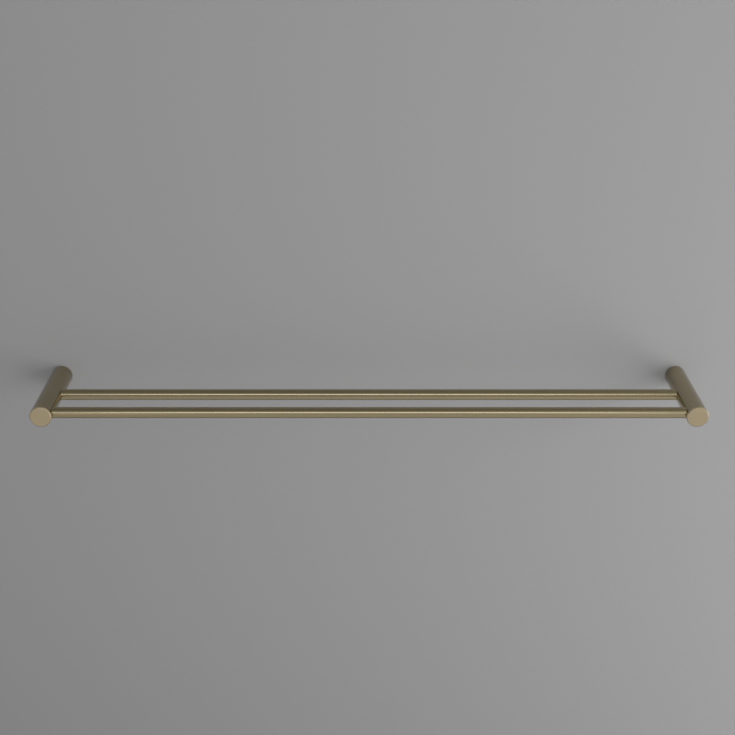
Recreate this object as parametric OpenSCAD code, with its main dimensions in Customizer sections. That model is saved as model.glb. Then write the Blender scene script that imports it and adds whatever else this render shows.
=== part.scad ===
// Wall-mounted double towel rack: two round posts stand straight off the wall and
// carry two parallel round bars, one in front of the other.
// Millimetres, +Z up. The wall is the plane y = 0 and the rack reaches out to -Y.
// The origin lies on the wall, halfway between the two post axes.

/* [Rack] */
// Distance between the axes of the posts, which is also the distance between the wall screws
post_pitch = 750; // [400:10:900]
// Distance from the wall to the front faces of the end caps
projection = 120; // [110:1:150]

/* [Posts] */
// Outer diameter of a post
post_d = 25; // [25:0.5:30]
// Wall thickness of the post tube
post_wall = 2.5; // [2:0.25:2.5]
// Bevel on the rear rim of the post tube, outside and inside
post_rim_bevel = 0.3; // [0.1:0.1:0.5]

/* [End caps] */
// Thickness of the cap's head, which closes the front of the post
cap_head_t = 2; // [1.5:0.1:2.2]
// Bevel around the front face of the cap
cap_bevel = 1; // [0.4:0.1:1.2]
// Length of the spigot that is pressed into the post tube
cap_spigot_l = 3; // [2:0.5:3]
// Fine bevel on both sides of the seam between cap and post tube
seam_bevel = 0.12; // [0.05:0.01:0.2]

/* [Bars] */
// Outer diameter of a bar
bar_d = 12.7; // [10:0.1:13]
// Wall thickness of a bar
bar_wall = 1.25; // [1:0.25:1.5]
// Distance from the front faces of the caps to the axis of the front bar
front_bar_inset = 12.5; // [12.5:0.5:20]
// Distance between the axes of the two bars
bar_pitch = 50; // [40:0.5:50]
// How far a bar's end reaches past the post axis
bar_reach = 5.5; // [4:0.5:6]
// Length of the solid plug inside each bar's end
bar_plug_l = 16; // [12:1:30]

/* [Bar carriers] */
// Length of carrier behind the rear bar, towards the wall
carrier_tail = 8; // [5:1:9]

/* [Wall bosses] */
// Length of the boss that is screwed to the wall inside each post
boss_l = 22; // [20:1:24]
// Diameter of the hole for the wall screw
wall_screw_hole_d = 5.5; // [4.5:0.5:6]
// Diameter of the seat for the wall screw's head
screw_head_seat_d = 11; // [10:0.5:12]
// Depth of the cylindrical part of that seat
screw_head_seat_l = 7; // [5:1:10]
// Depth of the relief in the boss's back, so that it bears on the wall with its rim
boss_relief_depth = 0.4; // [0.2:0.1:0.6]
// Width of the rim around that relief, and of the land around the screw hole
boss_rim_w = 2; // [1.5:0.25:2.5]

/* [Locking groove] */
// Depth of the groove around the boss
groove_depth = 1.8; // [1.5:0.1:2]
// Width of the groove's flat floor; its two flanks rise at 45 degrees
groove_floor_w = 1.4; // [1.2:0.1:2]
// How much nearer the wall the groove lies than the lock screw, which draws the post in
groove_shift = 0.1; // [0:0.05:0.15]

/* [Set screws] */
// Thread diameter of every set screw
set_screw_d = 4; // [3:1:4]
// Width across the flats of the hexagon socket
hex_key = 2; // [1.5:0.5:2]
// Depth of the hexagon socket
hex_depth = 1.8; // [1.5:0.1:2]
// Distance from the wall to the axis of the screw that locks a post on its boss
lock_screw_y = 11; // [9:0.5:12]
// How far the outer end of a set screw lies inside the post's lowest line
set_screw_recess = 0.25; // [0.2:0.05:0.5]

/* [Clearances] */
// Radial gap around a piece that is pressed or bonded in place
press_gap = 0.05; // [0.02:0.01:0.05]
// Radial gap around a piece that slides in by hand
slide_gap = 0.1; // [0.05:0.01:0.15]
// Gap left between the ends of pieces that must not bottom out
end_gap = 0.2; // [0.1:0.1:0.3]

/* [Hidden] */

// Sides, as the sign of x
left = -1;
right = 1;

// Finishes
satin_brass = "#8f8367";
satin_brass_cap = "#99907a";
raw_brass = "#b89a54";
bare_aluminium = "#b4b6b8";
stainless_steel = "#c2c3c4";

// Radii
post_r = post_d / 2;
post_bore_r = post_r - post_wall;
press_fit_r = post_bore_r - press_gap;
boss_r = post_bore_r - slide_gap;
bar_r = bar_d / 2;
bar_bore_r = bar_r - bar_wall;
bar_hole_r = bar_r + slide_gap;
set_screw_r = set_screw_d / 2;
thread_hole_r = set_screw_r + press_gap;
screw_pass_hole_r = set_screw_r + 2 * slide_gap;
cone_point_r = 0.5;

// Distances from the wall
front_bar_y = projection - front_bar_inset;
rear_bar_y = front_bar_y - bar_pitch;
post_front_y = projection - cap_head_t;
spigot_end_y = post_front_y - cap_spigot_l;
carrier_front_y = spigot_end_y - end_gap;
carrier_rear_y = rear_bar_y - bar_r - carrier_tail;

// Half the length of a bar, and how far its blind hole reaches past the post axis
bar_half_l = post_pitch / 2 + bar_reach;
bar_hole_reach = bar_reach + end_gap;

// Small bevel on turned edges, and the overshoot of a cut
edge_bevel = 0.4;
cut = 1;

$fn = 96;

// Its children are built around the axis x = 0, and moved to the post on that side
module at_post(side) {
    translate([side * post_pitch / 2, 0, 0]) children();
}

// Turns a profile of [radius, distance from the wall] points around the post axis
module turned(profile) {
    rotate([90, 0, 0]) rotate_extrude() polygon(profile);
}

// A cylinder across the post axis: inward is its length towards the middle of the rack
module across(side, distance, radius, inward, outward) {
    translate([side * outward, -distance, 0])
        rotate([0, -side * 90, 0])
            cylinder(h = inward + outward, r = radius);
}

// An upright cylinder from the post axis down through the post's underside
module downward(distance, radius) {
    translate([0, -distance, -post_r - cut])
        cylinder(h = post_r + cut, r = radius);
}

// A rod with both ends bevelled, standing on the origin
module bevelled_rod(radius, length) {
    rotate_extrude() polygon([
        [0, 0],
        [radius - edge_bevel, 0],
        [radius, edge_bevel],
        [radius, length - edge_bevel],
        [radius - edge_bevel, length],
        [0, length]
    ]);
}

module post(side) {
    color(satin_brass) at_post(side) difference() {
        turned([
            [post_bore_r + post_rim_bevel, 0],
            [post_r - post_rim_bevel, 0],
            [post_r, post_rim_bevel],
            [post_r, post_front_y - seam_bevel],
            [post_r - seam_bevel, post_front_y],
            [post_bore_r, post_front_y],
            [post_bore_r, post_rim_bevel]
        ]);
        for (distance = [rear_bar_y, front_bar_y]) {
            across(side, distance, bar_hole_r, post_r + cut, 0);
            downward(distance, screw_pass_hole_r);
        }
        downward(lock_screw_y, thread_hole_r);
    }
}

module end_cap(side) {
    color(satin_brass_cap) at_post(side) turned([
        [0, spigot_end_y],
        [press_fit_r - edge_bevel, spigot_end_y],
        [press_fit_r, spigot_end_y + edge_bevel],
        [press_fit_r, post_front_y],
        [post_r - seam_bevel, post_front_y],
        [post_r, post_front_y + seam_bevel],
        [post_r, projection - cap_bevel],
        [post_r - cap_bevel, projection],
        [0, projection]
    ]);
}

// The solid core inside a post: both bars end in its blind cross holes
module bar_carrier(side) {
    color(bare_aluminium) at_post(side) difference() {
        translate([0, -carrier_rear_y, 0])
            rotate([90, 0, 0])
                bevelled_rod(press_fit_r, carrier_front_y - carrier_rear_y);
        for (distance = [rear_bar_y, front_bar_y]) {
            across(side, distance, bar_hole_r, post_r, bar_hole_reach);
            downward(distance, thread_hole_r);
        }
    }
}

// Screwed to the wall first; the post slides over it and is locked in its groove
module wall_boss(side) {
    hole_r = wall_screw_hole_d / 2;
    seat_r = screw_head_seat_d / 2;
    seat_y = boss_l - screw_head_seat_l;
    floor_r = boss_r - groove_depth;
    groove_rear_y = lock_screw_y - groove_shift - groove_floor_w / 2;
    groove_front_y = groove_rear_y + groove_floor_w;
    color(raw_brass) at_post(side) turned([
        [hole_r, 0],
        [hole_r + boss_rim_w, 0],
        [hole_r + boss_rim_w, boss_relief_depth],
        [boss_r - boss_rim_w, boss_relief_depth],
        [boss_r - boss_rim_w, 0],
        [boss_r - edge_bevel, 0],
        [boss_r, edge_bevel],
        [boss_r, groove_rear_y - groove_depth],
        [floor_r, groove_rear_y],
        [floor_r, groove_front_y],
        [boss_r, groove_front_y + groove_depth],
        [boss_r, boss_l - 2 * edge_bevel],
        [boss_r - 2 * edge_bevel, boss_l],
        [seat_r, boss_l],
        [seat_r, seat_y],
        [hole_r, seat_y - (seat_r - hole_r)]
    ]);
}

// A socket set screw upright under the post axis, with the centre of its point point_depth below it
module set_screw(distance, point_depth, point_r) {
    outer_depth = post_r - set_screw_recess;
    length = outer_depth - point_depth;
    taper = set_screw_r - point_r;
    color(stainless_steel) translate([0, -distance, -outer_depth]) difference() {
        rotate_extrude() polygon([
            [0, 0],
            [set_screw_r - edge_bevel / 2, 0],
            [set_screw_r, edge_bevel / 2],
            [set_screw_r, length - taper],
            [point_r, length],
            [0, length]
        ]);
        translate([0, 0, -cut])
            cylinder(h = hex_depth + cut, r = hex_key / 2 / cos(30), $fn = 6);
    }
}

// Cone point screw through the post's wall into the groove of the boss
module lock_screw(side) {
    groove_floor_depth = boss_r - groove_depth;
    at_post(side) set_screw(lock_screw_y, groove_floor_depth + slide_gap, cone_point_r);
}

// Flat point screw through the carrier, which clamps a bar in its cross hole
module bar_screw(side, distance) {
    at_post(side) set_screw(distance, bar_r + press_gap, set_screw_r - edge_bevel);
}

module bar(distance) {
    color(satin_brass) translate([-bar_half_l, -distance, 0]) rotate([0, 90, 0]) difference() {
        bevelled_rod(bar_r, 2 * bar_half_l);
        translate([0, 0, -cut]) cylinder(h = 2 * (bar_half_l + cut), r = bar_bore_r);
    }
}

// Backs the bar's thin wall where its set screw presses
module bar_plug(side, distance) {
    color(bare_aluminium)
        translate([side * bar_half_l, -distance, 0])
            rotate([0, -side * 90, 0])
                bevelled_rod(bar_bore_r - press_gap, bar_plug_l);
}

post(left);  // left_post
post(right);  // right_post
end_cap(left);  // left_end_cap
end_cap(right);  // right_end_cap
bar_carrier(left);  // left_bar_carrier
bar_carrier(right);  // right_bar_carrier
wall_boss(left);  // left_wall_boss
wall_boss(right);  // right_wall_boss
lock_screw(left);  // left_lock_screw
lock_screw(right);  // right_lock_screw
bar(rear_bar_y);  // rear_bar
bar(front_bar_y);  // front_bar
bar_plug(left, rear_bar_y);  // left_rear_bar_plug
bar_plug(left, front_bar_y);  // left_front_bar_plug
bar_plug(right, rear_bar_y);  // right_rear_bar_plug
bar_plug(right, front_bar_y);  // right_front_bar_plug
bar_screw(left, rear_bar_y);  // left_rear_bar_screw
bar_screw(left, front_bar_y);  // left_front_bar_screw
bar_screw(right, rear_bar_y);  // right_rear_bar_screw
bar_screw(right, front_bar_y);  // right_front_bar_screw
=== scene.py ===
"""Looks of the wall-mounted double towel rack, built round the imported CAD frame.

Metres, +Z up. The wall is the plane y = 0 and the rack reaches out from it towards -Y."""

import math

import bpy
from mathutils import Matrix, Vector

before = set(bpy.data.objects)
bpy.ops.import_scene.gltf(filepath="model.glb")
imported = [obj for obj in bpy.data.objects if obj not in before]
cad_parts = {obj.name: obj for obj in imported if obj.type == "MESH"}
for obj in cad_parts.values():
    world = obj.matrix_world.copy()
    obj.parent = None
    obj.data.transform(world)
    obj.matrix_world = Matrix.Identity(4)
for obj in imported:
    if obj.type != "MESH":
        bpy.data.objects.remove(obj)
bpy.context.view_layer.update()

MM = 0.001


# ---------------------------------------------------------------- node helpers


def socket_of(node, key):
    """The node's input: i0, i1 and so on count its inputs, and any other key is a name with _ for a space."""
    if key[0] == "i" and key[1:].isdigit():
        return node.inputs[int(key[1:])]
    return node.inputs[key.replace("_", " ")]


def adder(tree):
    """A function that adds a node to the tree with its settings, and its inputs as values or as links."""
    tree.nodes.clear()

    def add(kind, settings=None, **inputs):
        node = tree.nodes.new("ShaderNode" + kind)
        for key, value in (settings or {}).items():
            setattr(node, key, value)
        for key, value in inputs.items():
            socket = socket_of(node, key)
            if isinstance(value, bpy.types.NodeSocket):
                tree.links.new(value, socket)
            else:
                socket.default_value = value
        return node

    return add


def new_material(name):
    material = bpy.data.materials.new(name)
    material.use_nodes = True
    return material, adder(material.node_tree)


def grey(value):
    return (value, value, value, 1.0)


def remap(add, value, low, high, to_low, to_high):
    """The value's stretch from low to high, moved to to_low to to_high and held inside it."""
    node = add("MapRange", {"clamp": True}, Value=value)
    for key, number in (("From Min", low), ("From Max", high), ("To Min", to_low), ("To Max", to_high)):
        node.inputs[key].default_value = number
    return node.outputs["Result"]


def multiply(add, a, b):
    return add("Math", {"operation": "MULTIPLY"}, i0=a, i1=b).outputs[0]


def plus(add, a, b):
    return add("Math", {"operation": "ADD"}, i0=a, i1=b).outputs[0]


NOISE_ROUGHNESS = 0.55
NOISE_LOW, NOISE_HIGH = 0.3, 0.7


def stretched_noise(add, scale, detail):
    """Noise in the row frame with its own number of features per metre along X, Y and Z."""
    place = add("TexCoord").outputs["Object"]
    fitted = add("Mapping", None, Vector=place, Scale=scale).outputs["Vector"]
    noise = add("TexNoise", None, Vector=fitted, Scale=1.0, Detail=detail, Roughness=NOISE_ROUGHNESS)
    return noise.outputs["Fac"]


def swing(add, noise, middle, reach):
    """A value that the noise moves about the middle, by up to the reach either way."""
    return remap(add, noise, NOISE_LOW, NOISE_HIGH, middle - reach, middle + reach)


# ---------------------------------------------------------------- materials

# Features per metre along X, Y and Z. The grain, listed by the axis of the piece, is fine along that axis
# and coarse across it, so its streaks run round the axis.
FINE, COARSE = 1800.0, 40.0
GRAIN = {"X": (FINE, COARSE, COARSE), "Y": (COARSE, FINE, COARSE)}
MARKS = (38.0, 38.0, 38.0)
CLOUD = (9.0, 14.0, 14.0)
GRAIN_DETAIL, MARKS_DETAIL, CLOUD_DETAIL = 3.0, 4.0, 2.0

GRAIN_DEPTH = 0.001 * MM
CLOUD_TONE = 0.03

# An edge is where the normal differs from the one averaged over the edge's width. Edges are painted
# brighter, partly as wear and partly as a painted highlight, from the first cosine between the two to full
# at the second.
EDGE_WIDTH, EDGE_SAMPLES = 0.5 * MM, 4
WEAR_AND_HIGHLIGHT_STARTS, WEAR_AND_HIGHLIGHT_FULL = 0.995, 0.93
WEAR_AND_HIGHLIGHT_MOST = 0.35
PATCH_LOW, PATCH_HIGH, PATCH_LEAST = 0.35, 0.6, 0.35
# How much brighter an edge is painted, partly as wear and partly as a painted highlight.
WORN_AND_HIGHLIGHT_GAIN, WORN_AND_HIGHLIGHT_LIFT = 1.35, 0.04

# The grain changes the gloss by this share of what it changes the tone.
GLOSS_SHARE = 0.5

# Grain that runs round an axis stretches highlights along it, a quarter turn from the radial tangent.
QUARTER_TURN = 0.25


def metal(name, colour, axis, roughness, anisotropy, grain=0.03, smudge=0.03, relief=0.25, rounded=True):
    """A turned or polished metal whose fine grain runs round the given axis. Tone, gloss and relief follow
    the grain, a film of handling marks changes the gloss, and edges are painted brighter in patches, partly
    as wear and partly as a painted highlight. The relief also rounds the look of edges, unless rounded is
    off."""
    material, add = new_material(name)
    fine = stretched_noise(add, GRAIN[axis], GRAIN_DETAIL)
    marks = stretched_noise(add, MARKS, MARKS_DETAIL)
    cloud = stretched_noise(add, CLOUD, CLOUD_DETAIL)

    tone = plus(add, swing(add, fine, 1.0, grain), swing(add, cloud, 0.0, CLOUD_TONE))
    plain = add("VectorMath", {"operation": "SCALE"}, i0=colour, Scale=tone)

    true_normal = add("NewGeometry").outputs["Normal"]
    soft_normal = add("Bevel", {"samples": EDGE_SAMPLES}, Radius=EDGE_WIDTH).outputs["Normal"]
    same = add("VectorMath", {"operation": "DOT_PRODUCT"}, i0=true_normal, i1=soft_normal).outputs["Value"]
    # Edges painted brighter in patches: partly wear, partly a painted highlight.
    edge = multiply(add, remap(add, same, WEAR_AND_HIGHLIGHT_STARTS, WEAR_AND_HIGHLIGHT_FULL, 0.0, WEAR_AND_HIGHLIGHT_MOST),
                    remap(add, marks, PATCH_LOW, PATCH_HIGH, PATCH_LEAST, 1.0))
    bright = [min(1.0, channel * WORN_AND_HIGHLIGHT_GAIN + WORN_AND_HIGHLIGHT_LIFT) for channel in colour]
    shade = add("Mix", {"data_type": "RGBA"}, i0=edge, i6=plain.outputs[0], i7=(*bright, 1.0))

    gloss = plus(add, swing(add, marks, roughness, smudge), swing(add, fine, 0.0, GLOSS_SHARE * grain))
    bump = add("Bump", None, Strength=relief, Distance=GRAIN_DEPTH, Height=fine,
               **({"Normal": soft_normal} if rounded else {}))
    tangent = add("Tangent", {"direction_type": "RADIAL", "axis": axis}).outputs[0]
    shader = add("BsdfPrincipled", None, Base_Color=shade.outputs[2], Metallic=1.0, Roughness=gloss,
                 Normal=bump.outputs["Normal"], Tangent=tangent, Anisotropic=anisotropy,
                 Anisotropic_Rotation=QUARTER_TURN)
    add("OutputMaterial", None, Surface=shader.outputs[0])
    return material


POST_BRASS = (0.385, 0.326, 0.21)
BAR_BRASS = (0.375, 0.312, 0.188)
# The caps' brass is painted lighter than the posts' and bars': the extra lightness is painted light, standing
# in for the light on the caps' faces.
CAP_BRASS_PAINTED_LIT = (0.53, 0.435, 0.28)
RAW_BRASS = (0.62, 0.46, 0.20)
ALUMINIUM = (0.60, 0.61, 0.63)
STEEL = (0.46, 0.46, 0.47)

# Each finish by the end of the names of the nodes that have it.
FINISHES = {
    "post": metal("satin_brass_post", POST_BRASS, "Y", roughness=0.12, anisotropy=0.2,
                  grain=0.02, smudge=0.015, relief=0.12, rounded=False),
    "end_cap": metal("satin_brass_cap", CAP_BRASS_PAINTED_LIT, "Y", roughness=0.30, anisotropy=0.3,
                     grain=0.02, relief=0.15),
    "bar": metal("satin_brass_bar", BAR_BRASS, "X", roughness=0.20, anisotropy=0.5,
                 grain=0.02, smudge=0.01, relief=0.08, rounded=False),
    "bar_carrier": metal("turned_aluminium_core", ALUMINIUM, "Y", roughness=0.35, anisotropy=0.5),
    "bar_plug": metal("turned_aluminium_plug", ALUMINIUM, "X", roughness=0.35, anisotropy=0.5),
    "wall_boss": metal("turned_raw_brass", RAW_BRASS, "Y", roughness=0.28, anisotropy=0.5),
    "screw": metal("stainless_screw", STEEL, "Y", roughness=0.32, anisotropy=0.0),
}


def finish_of(node):
    return next(FINISHES[kind] for kind in FINISHES if node.endswith(kind))


for node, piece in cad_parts.items():
    piece.data.materials.clear()
    piece.data.materials.append(finish_of(node))


# ---------------------------------------------------------------- stage

# The wall stands this far behind the rack, and a ray shorter than the contact depth passes through it.
WALL_GAP = 0.5 * MM
CONTACT_DEPTH = 1 * MM
WALL_WIDTH, WALL_TOP = 8.0, 4.0
FLOOR_WIDTH, FLOOR_LEVEL = 60.0, -1.3
WALL_TONE, FLOOR_TONE = 0.186, 0.75

# The floor's even glow, and how much more the painted pool of light on its right glows. The pool fades out
# between the two distances from its centre.
FLOOR_GLOW, POOL_GLOW = 0.28, 0.165
POOL_CENTRE, POOL_REACH = (0.9, -1.6, FLOOR_LEVEL), (0.2, 1.7)


def sheet_object(name, corners, material):
    mesh = bpy.data.meshes.new(name)
    mesh.from_pydata(corners, [], [(0, 1, 2, 3)])
    mesh.materials.append(material)
    obj = bpy.data.objects.new(name, mesh)
    bpy.context.scene.collection.objects.link(obj)
    return obj


def one_sided_wall():
    """Plain matt wall. Its back is clear, so that the rack's rear can be seen, and so is the last hair's
    breadth behind a post, so that the rear faces get light from behind."""
    material, add = new_material("stage_wall")
    paint = add("BsdfDiffuse", None, Color=grey(WALL_TONE))
    back = add("NewGeometry").outputs["Backfacing"]
    ray_length = add("LightPath").outputs["Ray Length"]
    near = add("Math", {"operation": "LESS_THAN"}, i0=ray_length, i1=CONTACT_DEPTH)
    clear = add("Math", {"operation": "MAXIMUM"}, i0=back, i1=near.outputs[0]).outputs[0]
    mixed = add("MixShader", None, i0=clear, i1=paint.outputs[0], i2=add("BsdfTransparent").outputs[0])
    add("OutputMaterial", None, Surface=mixed.outputs[0])
    return material


def pale_floor():
    """Plain pale floor that glows a little all over, and more in a painted pool of light on its right."""
    material, add = new_material("stage_floor")
    paint = add("BsdfDiffuse", None, Color=grey(FLOOR_TONE))
    away = add("VectorMath", {"operation": "DISTANCE"}, i0=add("TexCoord").outputs["Object"], i1=POOL_CENTRE)
    # Painted pool of light: the floor glows more towards the pool's centre.
    pool = remap(add, away.outputs["Value"], *POOL_REACH, FLOOR_GLOW + POOL_GLOW, FLOOR_GLOW)
    glow = add("Emission", None, Color=grey(1.0), Strength=pool)
    both = add("AddShader", None, i0=paint.outputs[0], i1=glow.outputs[0])
    add("OutputMaterial", None, Surface=both.outputs[0])
    return material


def upright(width, low, high, y):
    """The corners of a sheet that stands at y, with its front towards -Y."""
    half = width / 2
    return [(-half, y, low), (half, y, low), (half, y, high), (-half, y, high)]


def level(width, z):
    """The corners of a square sheet that lies at z, with its front up."""
    half = width / 2
    return [(-half, -half, z), (half, -half, z), (half, half, z), (-half, half, z)]


wall = sheet_object("stage_wall", upright(WALL_WIDTH, FLOOR_LEVEL, WALL_TOP, WALL_GAP), one_sided_wall())
sheet_object("stage_floor", level(FLOOR_WIDTH, FLOOR_LEVEL), pale_floor())


# ---------------------------------------------------------------- light

WHITE, COOL, COOLER = (1.0, 1.0, 1.0), (0.95, 1.0, 1.2), (0.9, 1.0, 1.2)

# The Y of the lamps in front, and where the two lamps on the right are.
FRONT = -2.3
RIGHT_SIDE = {"place": (1.7, -0.8, -0.15), "width": 1.2, "height": 1.8}

# How far to the side, as a sine, the studio air's lean is full.
LEAN_REACH = 0.5


def softbox(name, place, width, height, radiance, tint=WHITE):
    """A rectangular lamp that faces the middle of the rack. The camera doesn't see it."""
    light = bpy.data.lights.new(name, "AREA")
    light.shape = "RECTANGLE"
    light.size, light.size_y = width, height
    light.energy = radiance * math.pi * width * height
    light.color = tint
    obj = bpy.data.objects.new(name, light)
    obj.location = place
    obj.rotation_euler = (-Vector(place)).to_track_quat("-Z", "Y").to_euler()
    obj.visible_camera = False
    bpy.context.scene.collection.objects.link(obj)
    return obj


def link(lamp, lit, shading=None):
    """The lamp lights only the pieces in lit. If shading is given, only the pieces in it throw a shadow."""
    for side, pieces in (("receiver", lit), ("blocker", shading)):
        if pieces is not None:
            group = bpy.data.collections.new(f"{lamp.name}_{side}s")
            for piece in pieces:
                group.objects.link(piece)
            setattr(lamp.light_linking, side + "_collection", group)


def pieces_named(*endings):
    return [piece for node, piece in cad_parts.items() if node.endswith(endings)]


def light_the_rack():
    """A long strip in front, for the bright line along each bar, and two weaker lamps below its ends."""
    rack = list(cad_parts.values())
    link(softbox("front_strip", (-0.02, FRONT, 0.98), 1.75, 0.55, radiance=2.1, tint=COOL), rack)
    for side in (-1, 1):
        link(softbox(f"front_wing_{side}", (side * 0.95, FRONT, 0.1), 0.7, 0.7, radiance=0.5), rack)


def light_the_wall():
    """A fill in which the rack throws no shadow, and two lamps in which only its posts and caps do."""
    stubs = pieces_named("post", "end_cap")
    link(softbox("front_fill", (0.0, FRONT, 0.9), 0.6, 0.6, radiance=26.5), [wall], [wall])
    link(softbox("low_fill", (0.25, FRONT, 0.0), 0.5, 0.5, radiance=9.5), [wall], stubs)
    link(softbox("right_key", radiance=7.0, **RIGHT_SIDE), [wall], stubs)


def light_the_caps():
    """A faint window on the right, and a stronger lamp near the wall for the glint on the bevels."""
    caps = pieces_named("end_cap")
    link(softbox("right_window", radiance=0.25, **RIGHT_SIDE), caps)
    link(softbox("rim_light", (2.0, -0.3, -0.3), 0.5, 0.7, radiance=3.0, tint=COOLER), caps)


def studio_air(low_tone, high_tone, low_height, high_height, lean):
    """Soft light from all round, dimmer overhead and, by the lean, brighter from the right than from the
    left. The heights are sines of the elevation."""
    world = bpy.data.worlds.new("studio_air")
    world.use_nodes = True
    add = adder(world.node_tree)
    direction = add("SeparateXYZ", None, i0=add("TexCoord").outputs["Generated"])
    tone = remap(add, direction.outputs["Z"], low_height, high_height, low_tone, high_tone)
    side = remap(add, direction.outputs["X"], -LEAN_REACH, LEAN_REACH, 1.0 - lean, 1.0 + lean)
    air = add("Background", None, Color=grey(1.0), Strength=multiply(add, tone, side))
    add("OutputWorld", None, Surface=air.outputs[0])
    bpy.context.scene.world = world


light_the_rack()
light_the_wall()
light_the_caps()
studio_air(low_tone=0.485, high_tone=0.13, low_height=0.8, high_height=1.0, lean=0.34)
bpy.context.scene.view_settings.view_transform = "Standard"


# ---------------------------------------------------------------- camera

# The viewpoint: its place, and its turns away from a level look straight at the wall.
CAMERA_PLACE = Vector((-0.0086, -1.4634, 0.6390))
CAMERA_PITCH = math.radians(-23.251)
CAMERA_YAW = math.radians(0.267)
CAMERA_ROLL = math.radians(0.12)
LENS_MM, SENSOR_MM = 63.87, 36.0


def camera():
    data = bpy.data.cameras.new("photo_camera")
    data.lens, data.sensor_width = LENS_MM, SENSOR_MM
    obj = bpy.data.objects.new("photo_camera", data)
    turn = (Matrix.Rotation(-CAMERA_YAW, 4, "Z") @ Matrix.Rotation(math.pi / 2 + CAMERA_PITCH, 4, "X")
            @ Matrix.Rotation(CAMERA_ROLL, 4, "Z"))
    obj.matrix_world = Matrix.Translation(CAMERA_PLACE) @ turn
    bpy.context.scene.collection.objects.link(obj)
    bpy.context.scene.camera = obj


camera()
